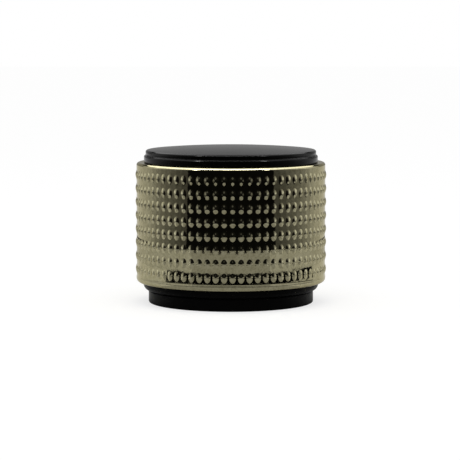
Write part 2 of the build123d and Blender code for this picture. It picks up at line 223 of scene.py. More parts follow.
# %% [markdown]
# ## Threads
#
# A screw thread is a ridge that winds round a cylinder. The ridge's section is a small trapezoid,
# and the Screw modifier sweeps it upwards as it goes round. Its two ends stay open, so they are
# filled like the blunt start of a milled thread. The ridge is sunk a little into the wall that
# carries it, so no gap shows. All threads share one pitch, the necks share two radii, and the
# bores share two others. A neck's crests stay just inside a bore's, so that no ridge cuts into
# another while the pieces turn.

# %% A thread
THREAD_PITCH, THREAD_SUNK, STEPS_A_TURN = 1.5, 0.1, 96
NECK_ROOT, NECK_CREST = 25.3, 25.85
BORE_ROOT, BORE_CREST = 26.45, 25.9


def thread(name, root, crest, start, turns):
    """A helical ridge from a root radius to a crest radius, starting at a height."""
    half_root, half_crest = 0.42 * THREAD_PITCH, 0.12 * THREAD_PITCH
    sunk = root + (THREAD_SUNK if crest < root else -THREAD_SUNK)
    section = [(sunk, start - half_root), (crest, start - half_crest), (crest, start + half_crest),
               (sunk, start + half_root)]
    ridge = point_at(name, *section[0])
    with editing(ridge):
        bpy.ops.mesh.select_all(action="SELECT")
        trace(section + section[:1])
        clean()
    screw = ridge.modifiers.new("Screw", "SCREW")
    screw.axis = "Z"
    screw.angle = 2 * pi * turns
    screw.screw_offset = THREAD_PITCH * turns * MM
    screw.steps = screw.render_steps = round(STEPS_A_TURN * turns)
    activate(ridge)
    bpy.ops.object.modifier_apply(modifier=screw.name)
    with editing(ridge, "EDGE"):
        bpy.ops.mesh.select_all(action="DESELECT")
        bpy.ops.mesh.select_non_manifold()
        bpy.ops.mesh.fill_holes(sides=4)
        clean()
    told(ridge)
    return ridge

# %% [markdown]
# ## Copies of the solid model's own pieces
#
# The toothed plates, the small screws and the magnets have many holes and flats that the solid
# model already has right. Their meshes arrive as loose triangles, so a copy is merged, its flat
# triangles are dissolved into whole faces, and a narrow Bevel modifier rounds what is left sharp.
#
# `dress` then puts any finished piece in the place of its solid. The piece rides on one of the
# bodies, so it moves when that body does.

# %% A softened copy, and how a piece takes its place
def softened(node, name, edge):
    """A merged copy of one of the solids, with its sharp edges bevelled by a width."""
    flat, sharp = radians(0.5), radians(40)
    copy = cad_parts[node].copy()
    copy.data = copy.data.copy()
    copy.name = name
    bpy.context.collection.objects.link(copy)
    copy.parent = None
    for key in [key for key in copy.keys() if key.startswith("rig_")]:
        del copy[key]
    with editing(copy):
        bpy.ops.mesh.select_all(action="SELECT")
        bpy.ops.mesh.remove_doubles(threshold=2 * SAME_POINT)
        bpy.ops.mesh.dissolve_limited(angle_limit=flat)
    bevel = copy.modifiers.new("Bevel", "BEVEL")
    bevel.width, bevel.segments = edge * MM, 2
    bevel.limit_method, bevel.angle_limit = "ANGLE", sharp
    bevel.use_clamp_overlap = True
    activate(copy)
    bpy.ops.object.modifier_apply(modifier=bevel.name)
    smooth(copy)
    return copy


def dress(piece, node, body):
    """Puts a piece in the place of a solid, on its body."""
    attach(piece, body)
    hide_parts(node)
    told(piece)
    return piece

# %% [markdown]
# ## The glass sleeve
#
# The sleeve is pressed in a mould, which gives it a plain foot, a soft shoulder, and upright
# columns of low oval hobnails. The plain wall comes first, and its foot stands out a trace from
# the wall above. It has more segments than the other turned pieces, because a mirror coat shows
# every facet.

# %% The sleeve's wall
glass_low, glass_high = box_of("glass_sleeve")
foot, shoulder = glass_low.z, glass_high.z
wall, bore = 31.5, 27.8
foot_wall = wall + 0.13
sleeve = turned("glass_sleeve_wall", [
    (bore, foot), (foot_wall, foot), (foot_wall, foot + 1.9), (wall, foot + 2.5),
    (wall, shoulder), (bore, shoulder)], segments=288)
round_corner(sleeve, wall, shoulder, 0.85, 6)
round_corner(sleeve, foot_wall, foot, 1.35, 6)
round_corner(sleeve, bore, shoulder, 0.3)
round_corner(sleeve, bore, foot, 0.3)
told(sleeve)

# %% [markdown]
# ## One hobnail
#
# A hobnail is a low oval dome. An oval ring of edges is extruded outwards and drawn in, step by
# step, and closed at its top. The dome's section is a cosine wave, round at the top as hot glass
# is. The wave is cut off shortly before it would run out flat, so the dome still meets the wall
# in a fine crease, and each hobnail's outline stays clear. A sphere scaled to an oval would rise
# too steeply at its edge. The dome is modelled flat and then bent round the wall.

# %% One hobnail
HALF_WIDTH, HALF_HEIGHT, RISE = 1.08, 1.68, 0.345
WAVE = 0.875  # the share of a half wave that the dome's section uses
first_row = shoulder - 4.1


def dome_height(share):
    """The dome's height at a share of the way from its middle to its edge."""
    edge = cos(pi * WAVE)
    return RISE * (cos(pi * WAVE * share) - edge) / (1 - edge)


def move_out(distance):
    """In edit mode, extrudes the selection away from the wall."""
    bpy.ops.mesh.extrude_region_move(TRANSFORM_OT_translate={"value": (distance * MM, 0, 0)})


dome = [(share, dome_height(share)) for share in (1.0, 0.84, 0.66, 0.48, 0.31, 0.15)]
row_centre = (wall * MM, 0, first_row * MM)
deselect()
bpy.ops.mesh.primitive_circle_add(vertices=12, radius=HALF_WIDTH * MM, rotation=(0, pi / 2, 0),
                                  location=row_centre)
hobnails = bpy.context.object
hobnails.name = "hobnails"
settle(hobnails)
with editing(hobnails):
    bpy.ops.mesh.select_all(action="SELECT")
    bpy.ops.transform.resize(value=(1, 1, HALF_HEIGHT / HALF_WIDTH), center_override=row_centre)
    for (s0, h0), (s1, h1) in zip(dome, dome[1:]):
        move_out(h1 - h0)
        bpy.ops.transform.resize(value=(1, s1 / s0, s1 / s0), center_override=row_centre)
    move_out(RISE - dome[-1][1])
    bpy.ops.mesh.merge(type="CENTER")
    clean()
for vertex in hobnails.data.vertices:
    turn = vertex.co.y / (wall * MM)
    vertex.co.y, vertex.co.x = vertex.co.x * sin(turn), vertex.co.x * cos(turn)
told(hobnails)

# %% [markdown]
# ## Hobnails all over
#
# The hobnail is copied down the wall to make one column, and Spin with duplicates copies the
# column round the axis. An Array modifier would repeat the column too, but Spin keeps each copy
# square to the wall without an extra object. The count at the end shows that all faces point
# outwards, as a mirror coat needs.

# %% A column, then all round
COLUMNS, ROWS, ROW_PITCH = 72, 8, 4.48
first_column = radians(-89.0)  # the front is at -90

hobnails.rotation_euler = (0, 0, first_column)
settle(hobnails)
with editing(hobnails):
    bpy.ops.mesh.select_all(action="SELECT")
    for row in range(ROWS - 1):
        bpy.ops.mesh.duplicate_move(TRANSFORM_OT_translate={"value": (0, 0, -ROW_PITCH * MM)})
    bpy.ops.mesh.select_all(action="SELECT")
    bpy.ops.mesh.spin(steps=COLUMNS - 1, dupli=True, angle=2 * pi * (COLUMNS - 1) / COLUMNS,
                      center=(0, 0, 0), axis=(0, 0, 1))
faces = hobnails.data.polygons
outward = [face for face in faces if face.normal.dot(face.center * Vector((1, 1, 0))) > 0]
print("hobnail faces that point outwards:", len(outward), "of", len(faces))
smooth(sleeve)
smooth(hobnails, 60, weighted=False)
sleeve = join([sleeve, hobnails], "hobnail_sleeve")
dress(sleeve, "glass_sleeve", "jar")

# %% [markdown]
# ## The lid
#
# The lid is a shallow dome with a rounded rim. Below it a short spigot drops into the grinding
# chamber and keeps the lid centred. The dome is a circular arc, so its outline points are worked
# out from the arc's radius, which follows from how wide the dome is and how far it rises.

# %% The lid
LID_RISE, ARC_STEPS = 1.3, 16
spigot_inside, spigot_outside = 23.7, 25.3

lid_low, lid_high = box_of("lid_cap")
lid_radius, crown, underside = lid_high.x, lid_high.z, lid_low.z
rim, rim_under, ceiling = crown - LID_RISE, underside + 1.9, underside + 2.1
arc_radius = (lid_radius ** 2 + LID_RISE ** 2) / (2 * LID_RISE)
arc_radii = [lid_radius * step / ARC_STEPS for step in range(ARC_STEPS - 1, -1, -1)]
arc = [(radius, crown - arc_radius + sqrt(arc_radius ** 2 - radius ** 2)) for radius in arc_radii]
lid = turned("lid", [
    (0, ceiling), (spigot_inside, ceiling), (spigot_inside, underside), (spigot_outside, underside),
    (spigot_outside, rim_under), (lid_radius, rim_under), (lid_radius, rim)] + arc)
round_corner(lid, lid_radius, rim, 0.6, 5)
round_corner(lid, lid_radius, rim_under, 0.12)
round_corner(lid, spigot_outside, underside, 0.25)
round_corner(lid, spigot_inside, underside, 0.15)
smooth(lid)
dress(lid, "lid_cap", "lid")

# %% [markdown]
# ## The friction ring
#
# Lid and chamber are both bare aluminium under their black coat and would bind if they rubbed.
# A thin ring of slippery plastic sits in the chamber's mouth, and its lip keeps the two apart.

# %% The friction ring
ring_inside, ring_outside = 25.35, 26.35
ring_low, ring_high = box_of("friction_ring")
lip, lip_top, lip_under = ring_high.x, ring_high.z, ring_high.z - 0.3
friction_ring = turned("friction_ring_turned", [
    (ring_inside, ring_low.z), (ring_outside, ring_low.z), (ring_outside, lip_under),
    (lip, lip_under), (lip, lip_top), (ring_inside, lip_top)])
round_corner(friction_ring, lip, lip_top, 0.08)
round_corner(friction_ring, ring_inside, ring_low.z, 0.1)
smooth(friction_ring)
dress(friction_ring, "friction_ring", "lid_bearing")

# %% [markdown]
# ## The grinding chamber
#
# The chamber is a cup whose flange closes the glass from above. Its floor is a separate plate, so
# the cup itself is only a wall with a ledge inside and a threaded neck below. The flange's side
# leans in a little over its topmost half millimetre, and the corner above that is rounded. A sharp
# corner would be quicker, but the leaning band is what catches a thin line of light.

# %% The cup
BEHIND_GLASS, SEAL_GROOVE = 27.4, 28.65
neck_inside, ledge_inside, cup_inside, mouth_inside = 24.3, 20.55, 25.35, 26.4

cup_low, cup_high = box_of("grinding_chamber")
neck, top, flange = cup_low.z, cup_high.z, cup_high.x
ledge_under, ledge_top, neck_top = neck + 2.95, neck + 5.35, neck + 4.65
flange_under, groove_top, mouth_floor = top - 2.2, top - 1.6, top - 1.9
top_radius = flange - 0.15
cup = turned("grinding_chamber_turned", [
    (neck_inside, neck), (NECK_ROOT - 0.1, neck), (NECK_ROOT, neck + 0.1), (NECK_ROOT, neck + 4.2),
    (NECK_CREST, neck + 4.45), (NECK_CREST, neck_top), (BEHIND_GLASS, neck_top),
    (BEHIND_GLASS, groove_top), (SEAL_GROOVE, groove_top), (SEAL_GROOVE, flange_under),
    (flange, flange_under), (flange, top - 0.5), (flange - 0.01, top - 0.45), (top_radius, top),
    (mouth_inside, top), (mouth_inside, mouth_floor), (cup_inside, mouth_floor),
    (cup_inside, ledge_top), (ledge_inside, ledge_top), (ledge_inside, ledge_under),
    (neck_inside, ledge_under)])
round_corner(cup, top_radius, top, 0.15)
round_corner(cup, flange, flange_under, 0.1)
round_corner(cup, mouth_inside, top, 0.12)
round_corner(cup, neck_inside, neck, 0.2)
round_corner(cup, ledge_inside, ledge_top, 0.15)
round_corner(cup, ledge_inside, ledge_under, 0.2)
round_corner(cup, BEHIND_GLASS, neck_top, 0.25)
told(cup)

# %% [markdown]
# ## Screw holes in the ledge
#
# Three countersunk holes in the ledge take the screws of the toothed plate. A drill is modelled
# as a cone with its wide end down and a shank above, copied twice round the axis, and taken away
# from the cup with a Boolean modifier. It reaches past the ledge above and below, so that it cuts
# clean through. The thread is joined on afterwards.

# %% Three holes, and the neck's thread
screw_circle, head_radius, shank_radius = 22.95, 2.05, 1.05
sink, shank_length, reach_below = 1.1, 2.5, 0.3
deselect()
bpy.ops.mesh.primitive_cone_add(vertices=48, radius1=head_radius * MM, radius2=shank_radius * MM,
                                depth=sink * MM, location=(screw_circle * MM, 0, (ledge_under + 0.5) * MM))
drill = bpy.context.object
settle(drill)
with editing(drill, "FACE"):
    pick(drill, "faces", lambda face: face.normal.z > 0.9)
    bpy.ops.mesh.extrude_region_move(TRANSFORM_OT_translate={"value": (0, 0, shank_length * MM)})
    pick(drill, "faces", lambda face: face.normal.z < -0.9)
    bpy.ops.mesh.extrude_region_move(TRANSFORM_OT_translate={"value": (0, 0, -reach_below * MM)})
    bpy.ops.mesh.select_all(action="SELECT")
    bpy.ops.mesh.spin(steps=2, dupli=True, angle=radians(240), center=(0, 0, 0), axis=(0, 0, 1))
    clean()
drilling = cup.modifiers.new("Drilling", "BOOLEAN")
drilling.operation, drilling.object, drilling.solver = "DIFFERENCE", drill, "EXACT"
activate(cup)
bpy.ops.object.modifier_apply(modifier=drilling.name)
bpy.data.objects.remove(drill)

neck_thread = thread("neck_thread", NECK_ROOT, NECK_CREST, start=neck + 0.85, turns=2.2)
cup = join([cup, neck_thread], "grinding_cup")
smooth(cup)
dress(cup, "grinding_chamber", "grinding_chamber")

# %% [markdown]
# ## The collection chamber
#
# The collection chamber is a tube with a collar at its foot. The collar carries the glass and has
# a large rounding below. Inside there are two threads, one for the grinding chamber and one for
# the dish, a shelf for the screen, and a narrow groove for the spring ring that holds it down.

# %% The collection chamber
tube_inside, shelf_inside, dish_seal_groove = 25.9, 23.9, 26.95

tube_low, tube_high = box_of("collection_chamber")
base, mouth, collar = tube_low.z, tube_high.z, tube_high.x
collar_top, seal_floor, dish_groove_top = base + 2.65, base + 2.05, base + 0.95
shelf = base + 6.65
shelf_under = shelf - 1.2
tube = turned("collection_chamber_turned", [
    (dish_seal_groove, base), (collar, base), (collar, collar_top), (SEAL_GROOVE, collar_top),
    (SEAL_GROOVE, seal_floor), (BEHIND_GLASS, seal_floor), (BEHIND_GLASS, mouth),
    (BORE_ROOT + 0.05, mouth), (BORE_ROOT, mouth - 0.1), (BORE_ROOT, mouth - 4.6),
    (tube_inside, mouth - 4.9), (tube_inside, shelf + 2.15), (BORE_ROOT, shelf + 2.15),
    (BORE_ROOT, shelf + 1.4), (tube_inside, shelf + 1.4), (tube_inside, shelf),
    (shelf_inside, shelf), (shelf_inside, shelf_under), (tube_inside, shelf_under),
    (tube_inside, shelf - 1.5), (BORE_ROOT, shelf - 1.7), (BORE_ROOT, dish_groove_top),
    (dish_seal_groove, dish_groove_top)])
round_corner(tube, collar, base, 2.1, 8)
round_corner(tube, collar, collar_top, 0.12)
round_corner(tube, BEHIND_GLASS, mouth, 0.25)
round_corner(tube, BORE_ROOT + 0.05, mouth, 0.1)
round_corner(tube, shelf_inside, shelf, 0.15)
round_corner(tube, shelf_inside, shelf_under, 0.15)
upper_thread = thread("upper_thread", BORE_ROOT, BORE_CREST, start=mouth - 4.0, turns=2.1)
lower_thread = thread("lower_thread", BORE_ROOT, BORE_CREST, start=base + 1.75, turns=1.9)
tube = join([tube, upper_thread, lower_thread], "collection_tube")
smooth(tube)
dress(tube, "collection_chamber", "jar")

# %% [markdown]
# ## The catcher dish
#
# The dish is the grinder's base. It stands on a narrow foot ring, because a large flat underside
# would rock on the least bit of grit. The inside corner is well rounded, so that a finger or a
# brush can empty it.

# %% The catcher dish
foot_ring, hollow = 24.35, 0.3
dish_inside, dish_floor, skirt_top = 23.9, 1.6, 4.0

dish_high = box_of("catcher_dish")[1]
skirt, dish_top = dish_high.x, dish_high.z
dish = turned("catcher_dish_turned", [
    (0, hollow), (foot_ring, hollow), (foot_ring, 0), (skirt, 0), (skirt, skirt_top),
    (NECK_CREST, skirt_top), (NECK_CREST, 5.15), (NECK_ROOT, 5.3), (NECK_ROOT, dish_top - 0.1),
    (NECK_ROOT - 0.1, dish_top), (dish_inside, dish_top), (dish_inside, dish_floor), (0, dish_floor)])
round_corner(dish, skirt, 0, 0.5, 5)
round_corner(dish, skirt, skirt_top, 0.2)
round_corner(dish, foot_ring, 0, 0.1)
round_corner(dish, dish_inside, dish_floor, 1.5, 7)
round_corner(dish, dish_inside, dish_top, 0.25)
dish_thread = thread("dish_thread", NECK_ROOT, NECK_CREST, start=6.0, turns=1.4)
dish = join([dish, dish_thread], "dish")
smooth(dish)
dress(dish, "catcher_dish", "dish")

# %% [markdown]
# ## Seals and screen frame
#
# Three soft rings sit in grooves: one above and one below the glass, and one between the dish and
# the collar. Moulded silicone has generous roundings. The screen's frame is a turned ring too, so
# one helper makes all four from the size of their solids.

# %% Rings
def plain_ring(node, name, body, rounding):
    """A turned ring with all four corners rounded, as large as its solid."""
    low, high = box_of(node)
    inner = min(hypot(v.co.x, v.co.y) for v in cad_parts[node].data.vertices) / MM
    piece = turned(name, [(inner, low.z), (high.x, low.z), (high.x, high.z), (inner, high.z)])
    for radius in (inner, high.x):
        for height in (low.z, high.z):
            round_corner(piece, radius, height, rounding)
    smooth(piece, 60)
    return dress(piece, node, body)


lower_gasket = plain_ring("lower_gasket", "glass_foot_seal", "jar", 0.2)
upper_gasket = plain_ring("upper_gasket", "glass_shoulder_seal", "chamber_seal", 0.2)
catcher_seal = plain_ring("catcher_seal", "dish_seal_ring", "dish_seal", 0.3)
screen_frame = plain_ring("screen_frame", "screen_rim", "jar", 0.15)

# %% [markdown]
# ## One tooth
#
# Each tooth is a peg with a diamond footprint: two long sharp edges shear what is being ground,
# whichever way the lid is twisted. A cylinder of four sides is a diamond already. Its top is
# extruded to the tip and drawn in, and the tip's edges get a small bevel. A root below the floor
# joins the tooth to its plate without a gap.

# %% One tooth
TOOTH_HEIGHT, TOOTH_ROOT = 7.2, 1.6
TOOTH_HALF_WIDTH, TOOTH_HALF_LENGTH = 1.7, 2.7
TIP_SHARE, TIP_BEVEL = 0.562, 0.16


def diamond_tooth(name):
    """One tooth at the origin. It stands on z = 0 with its root below, and points up."""
    tip = (0, 0, TOOTH_HEIGHT * MM)
    deselect()
    bpy.ops.mesh.primitive_cylinder_add(vertices=4, radius=MM, depth=TOOTH_ROOT * MM,
                                        location=(0, 0, -TOOTH_ROOT / 2 * MM))
    tooth = bpy.context.object
    tooth.name = name
    tooth.scale = (TOOTH_HALF_WIDTH, TOOTH_HALF_LENGTH, 1)
    settle(tooth)
    with editing(tooth, "FACE"):
        pick(tooth, "faces", lambda face: face.normal.z > 0.9)
        bpy.ops.mesh.extrude_region_move(TRANSFORM_OT_translate={"value": tip})
        bpy.ops.transform.resize(value=(TIP_SHARE, TIP_SHARE, 1), center_override=tip)
    with editing(tooth, "EDGE"):
        pick(tooth, "edges", lambda edge: max(end.co.z for end in edge.verts) > 0.97 * TOOTH_HEIGHT * MM)
        bpy.ops.mesh.bevel(offset=TIP_BEVEL * MM, segments=3, affect="EDGES")
        clean()
    return tooth

# %% [markdown]
# ## Rings of teeth
#
# Rings of teeth are copied by Spin. The lid's teeth are the same tooth turned over. The lid's two
# rings have other radii than the chamber's two, so the teeth pass between each other as it turns.

# %% Rings of teeth
def ring_of_teeth(name, radius, count, start, root, upside_down=False):
    """Equal teeth round the axis, the first at a start angle in degrees."""
    tooth = diamond_tooth(name)
    tooth.rotation_euler = (pi if upside_down else 0, 0, 0)
    tooth.location = (radius * MM, 0, root * MM)
    settle(tooth)
    tooth.rotation_euler = (0, 0, radians(start))
    settle(tooth)
    with editing(tooth):
        bpy.ops.mesh.select_all(action="SELECT")
        bpy.ops.mesh.spin(steps=count - 1, dupli=True, angle=2 * pi * (count - 1) / count,
                          center=(0, 0, 0), axis=(0, 0, 1))
    return tooth


floor_top = box_of("chamber_teeth")[1].z - TOOTH_HEIGHT
lid_root = box_of("lid_teeth")[0].z + TOOTH_HEIGHT
chamber_teeth = join([
    ring_of_teeth("inner", radius=13.85, count=7, start=180 / 7, root=floor_top),
    ring_of_teeth("outer", radius=22.75, count=12, start=15, root=floor_top)], "chamber_teeth_ground")
lid_teeth = join([
    ring_of_teeth("inner", radius=9.4, count=5, start=0, root=lid_root, upside_down=True),
    ring_of_teeth("outer", radius=18.3, count=9, start=0, root=lid_root, upside_down=True)],
    "lid_teeth_ground")
for teeth in (chamber_teeth, lid_teeth):
    smooth(teeth, 30)
dress(chamber_teeth, "chamber_teeth", "grinding_chamber")
dress(lid_teeth, "lid_teeth", "lid")

# %% [markdown]
# ## Plates, magnets, screws and spring ring
#
# These are softened copies of their solids. The screws are too small to need more than a rounded
# edge, and the plates keep every drop hole where the solid model has it. The last number in each
# line is the width of its bevel.

# %% Small pieces
small_pieces = [
    ("chamber_tooth_plate", "chamber_floor", "grinding_chamber", "black_anodised", 0.15),
    ("lid_tooth_plate", "lid_floor", "lid", "black_anodised", 0.12),
    ("chamber_magnet", "post_magnet", "grinding_chamber", "nickel", 0.15),
    ("lid_magnet", "lid_disc_magnet", "lid", "nickel", 0.15),
    ("chamber_plate_screws", "floor_screws", "grinding_chamber", "screw_steel", 0.06),
    ("lid_plate_screws", "lid_screws", "lid", "screw_steel", 0.06),
    ("screen_snap_ring", "screen_spring_ring", "jar", "spring_steel", 0.1),
]
small = {name: dress(softened(node, name, edge), node, body)
         for node, name, body, slot, edge in small_pieces}

# %% [markdown]
# ## Shader maths in plain expressions
#
# A procedural finish is mostly arithmetic on coordinates. The class below wraps a node's socket,
# so `0.3 + mask * 0.1` adds the Math nodes for it, and `math` adds the ones that have no sign,
# such as a sine.

# %% Values
class Value:
    """A socket of a node. Sums, products and powers of Values add Math nodes."""

    def __init__(self, nodes, socket):
        self.nodes, self.socket = nodes, socket

    def math(self, operation, *others):
        """A Math node on this Value and any others."""
        return self.nodes.node("ShaderNodeMath", {"operation": operation}, dict(enumerate((self, *others))))

    def __add__(self, other):
        return self.math("ADD", other)

    def __mul__(self, other):
        return self.math("MULTIPLY", other)

    def __pow__(self, other):
        return self.math("POWER", other)

    __radd__ = __add__
    __rmul__ = __mul__

# %% [markdown]
# ## Nodes from one method
#
# `Nodes.node` makes any node from its type, its settings and its sockets. The same class serves
# the table, the cards and the world, which need no pattern.

# %% Nodes
class Nodes:
    """The node tree of a material or of the world."""

    def __init__(self, owner):
        owner.use_nodes = True
        self.tree = owner.node_tree

    def node(self, kind, settings=None, sockets=None, out=0):
        """A new node. Its settings are set first, then the values or links of its sockets."""
        node = self.tree.nodes.new(kind)
        for key, value in (settings or {}).items():
            setattr(node, key, value)
        for key, value in (sockets or {}).items():
            self.feed(self.find(node.inputs, key), value)
        return Value(self, self.find(node.outputs, out))

    @staticmethod
    def find(sockets, key):
        """A socket by its number, identifier or name."""
        if isinstance(key, int):
            return sockets[key]
        return next(socket for socket in sockets if key in (socket.identifier, socket.name))

    def feed(self, socket, value):
        """Links a Value to a socket, or sets a number or colour there."""
        if isinstance(value, Value):
            self.tree.links.new(value.socket, socket)
        elif socket.type == "RGBA" and len(value) == 3:
            socket.default_value = (*value, 1)
        else:
            socket.default_value = value

    def mix(self, mask, first, second):
        """A colour between two, by a mask."""
        return self.node("ShaderNodeMix", {"data_type": "RGBA"},
                         {"Factor_Float": mask, "A_Color": first, "B_Color": second}, out="Result_Color")

    def surface(self, shader):
        """Shows this shader in place of the Principled one."""
        self.feed(self.tree.nodes["Material Output"].inputs["Surface"], shader)
        self.tree.nodes.remove(self.tree.nodes["Principled BSDF"])

# %% [markdown]
# ## Finishes
#
# A `Finish` is a material on Blender's Principled shader. Its patterns start from the place of a
# point on the piece, and `shade` sets the surface. Values that are the same all over stay on the
# shader's own sockets. Image textures could carry the same patterns, but noise has no seams and
# stays sharp from any distance.

# %% Finishes
class Finish(Nodes):
    """A material on the Principled shader, patterned by the place of a point on the piece."""

    def __init__(self, name):
        self.material = bpy.data.materials.new(name)
        super().__init__(self.material)
        self.shader = self.tree.nodes["Principled BSDF"]
        self.place = self.node("ShaderNodeTexCoord", out="Object")

    def along(self, axis):
        """How far a point lies along X, Y or Z."""
        return self.node("ShaderNodeSeparateXYZ", None, {"Vector": self.place}, out=axis)

    def from_axis(self):
        """How far a point lies from the grinder's upright axis."""
        x, y = self.along("X"), self.along("Y")
        return (x * x + y * y) ** 0.5

    def noise(self, scale, detail=3.0, roughness=0.5, vector=None):
        """Cloudy noise on object coordinates. A scale of 1000 has lumps of about a millimetre."""
        sockets = {"Vector": vector or self.place, "Scale": scale, "Detail": detail, "Roughness": roughness}
        return self.node("ShaderNodeTexNoise", None, sockets, out="Fac")

    def between(self, value, low, high):
        """A value spread evenly from 0 at low to 1 at high, and no further."""
        sockets = {"Value": value, "From Min": low, "From Max": high}
        return self.node("ShaderNodeMapRange", {"clamp": True}, sockets)

    def bump(self, height, depth, normal=None):
        """A relief, a depth in metres high where the height is 1. It may lie on another relief."""
        sockets = {"Height": height, "Distance": depth}
        if normal:
            sockets["Normal"] = normal
        return self.node("ShaderNodeBump", None, sockets)

    def shade(self, **sockets):
        """Sets the surface. A name such as Base_Color stands for the socket Base Color."""
        for key, value in sockets.items():
            self.feed(self.shader.inputs[key.replace("_", " ")], value)
        print(f"{self.material.name}: {len(self.tree.nodes)} nodes")
        return self.material


def paint(piece, material):
    """Gives a piece this one material."""
    piece.data.materials.clear()
    piece.data.materials.append(material)

# %% [markdown]
# ## Gold coat on pressed glass
#
# The sleeve's colour is a metal coat far thinner than paint, so it behaves as a mirror of pale
# gold. Pressed glass is never flat: broad low waves from the mould bend the reflections, and a
# finer ripple breaks their edges. The coat itself is cloudy and finely speckled. Its colour is
# painted paler towards the hobnails' crests as a painted highlight, so it is a little deeper on
# the wall between them. A glass shader under a thin coat would be the true build-up, but nothing
# shows through this coat.

# %% Gold
deep_gold, pale_gold = (0.365, 0.338, 0.208), (0.445, 0.415, 0.27)
# The first colour on the next line is a painted highlight for the hobnails' crests.
crest_highlight_gold, dark_speck = (0.49, 0.465, 0.335), (0.25, 0.23, 0.13)

gold = Finish("gold_coat")
waves = gold.noise(260, detail=2.0)
ripple = gold.noise(1500, detail=3.0, roughness=0.6)
cloud = gold.noise(420, detail=4.0, roughness=0.65)
speck = gold.noise(1700, detail=2.0)
# Painted highlight: the gold turns paler with the height over the wall, towards the crests.
crest = gold.between(gold.from_axis(), wall * MM, (wall + 0.3) * MM)
tint = gold.mix(gold.between(cloud, 0.35, 0.7), deep_gold, pale_gold)
tint = gold.mix(crest * 0.35, tint, crest_highlight_gold)
tint = gold.mix(gold.between(speck, 0.46, 0.66) * 0.55, tint, dark_speck)
relief = gold.bump(waves, 0.02 * MM)
relief = gold.bump(ripple, 0.003 * MM, normal=relief)
relief = gold.bump(speck, 0.002 * MM, normal=relief)
gold_coat = gold.shade(Base_Color=tint, Metallic=1.0, Roughness=0.015 + cloud * 0.035,
                       Specular_Tint=(0.95, 0.91, 0.77, 1.0), Normal=relief)
paint(sleeve, gold_coat)

# %% [markdown]
# ## Black anodised aluminium
#
# Anodising grows a hard black skin on the turned metal. It is dark and slightly glossy, and the
# lathe's fine rings still show in it as faint circular grooves. The grooves follow the distance
# from the axis and the height, and nothing else, and lie a little closer on upright walls. The lid
# and the cup are polished before they are anodised, so their rings are fainter and they reflect
# more clearly.

# %% Black finishes
def anodised(name, roughness, groove, gloss):
    """Black anodised metal with turning marks of a depth in millimetres."""
    black = Finish(name)
    upright_closeness = 1.7
    height = black.along("Z") * upright_closeness
    outline = black.node("ShaderNodeCombineXYZ", None, {"X": black.from_axis(), "Y": height})
    rings = black.noise(9000, detail=3.0, roughness=0.7, vector=outline)
    cloud = black.noise(160, detail=3.0)
    dust = black.between(black.noise(3500, detail=1.0), 0.68, 0.78)
    tone = black.mix(cloud, (0.0008, 0.0008, 0.0008), (0.0016, 0.0016, 0.0015))
    tone = black.mix(dust * 0.12, tone, (0.05, 0.05, 0.048))
    rough = roughness + rings * 0.05 + cloud * 0.06 + dust * 0.1
    return black.shade(Base_Color=tone, Roughness=rough, Specular_IOR_Level=gloss,
                       Normal=black.bump(rings, groove * MM))


satin_black = anodised("satin_black_anodised", roughness=0.22, groove=0.004, gloss=0.022)
polished_black = anodised("polished_black_anodised", roughness=0.075, groove=0.0008, gloss=0.085)
for piece in (tube, dish, small["chamber_floor"], small["lid_floor"]):
    paint(piece, satin_black)
for piece in (lid, cup):
    paint(piece, polished_black)

# %% [markdown]
# ## Steels and nickel
#
# Ground steel has fine scratches that run one way, and nickel plate is bright and slightly hazy.
# Noise that is drawn out along one axis makes the scratches. The nickel has no such direction, so
# its noise keeps its shape, and on the screen's frame the lines run round it.

# %% Bright metals
def bright_metal(name, grey, roughness, scratch, closeness=(1, 1, 0.08)):
    """Metal with fine scratches of a depth in millimetres. Closeness is how closely they lie
    along X, Y and Z."""
    metal = Finish(name)
    along = metal.node("ShaderNodeMapping", None, {"Vector": metal.place, "Scale": closeness})
    lines = metal.noise(6000, detail=4.0, roughness=0.7, vector=along)
    cloud = metal.noise(500, detail=2.0)
    darker = tuple(0.72 * part for part in grey)
    return metal.shade(Base_Color=metal.mix(cloud, grey, darker), Metallic=1.0,
                       Roughness=roughness + lines * 0.12, Normal=metal.bump(lines, scratch * MM))


tooth_steel = bright_metal("ground_tooth_steel", (0.42, 0.42, 0.43), 0.28, 0.004)
nickel = bright_metal("nickel_plate", (0.75, 0.74, 0.70), 0.12, 0.001, closeness=(1, 1, 1))
screw_steel = bright_metal("screw_steel", (0.35, 0.35, 0.35), 0.30, 0.003)
spring_steel = bright_metal("spring_steel", (0.50, 0.50, 0.50), 0.25, 0.003)
rolled_steel = bright_metal("rolled_steel", (0.60, 0.60, 0.60), 0.30, 0.004, closeness=(1, 1, 4))
for piece in (chamber_teeth, lid_teeth):
    paint(piece, tooth_steel)
for name in ("post_magnet", "lid_disc_magnet"):
    paint(small[name], nickel)
for name in ("floor_screws", "lid_screws"):
    paint(small[name], screw_steel)
paint(small["screen_spring_ring"], spring_steel)
paint(screen_frame, rolled_steel)

# %% [markdown]
# ## Acetal and silicone
#
# The friction ring's acetal is black and waxy, and the seals' silicone is matt black. Both come
# out of a mould with a fine grain, which is noise used as a bump and in the roughness.

# %% Moulded rings
def moulded(name, colour, roughness, grain, scale):
    """Moulded rubber or plastic with a fine grain of a depth in millimetres."""
    soft = Finish(name)
    lumps = soft.noise(scale, detail=4.0, roughness=0.6)
    cloud = soft.noise(150, detail=2.0)
    darker = tuple(0.8 * part for part in colour)
    return soft.shade(Base_Color=soft.mix(cloud, colour, darker), Roughness=roughness + lumps * 0.1,
                      Normal=soft.bump(lumps, grain * MM))


acetal = moulded("black_acetal", (0.010, 0.010, 0.010), roughness=0.35, grain=0.006, scale=2500)
silicone = moulded("silicone", (0.030, 0.030, 0.030), roughness=0.55, grain=0.01, scale=1800)
paint(friction_ring, acetal)
for ring in (lower_gasket, upper_gasket, catcher_seal):
    paint(ring, silicone)

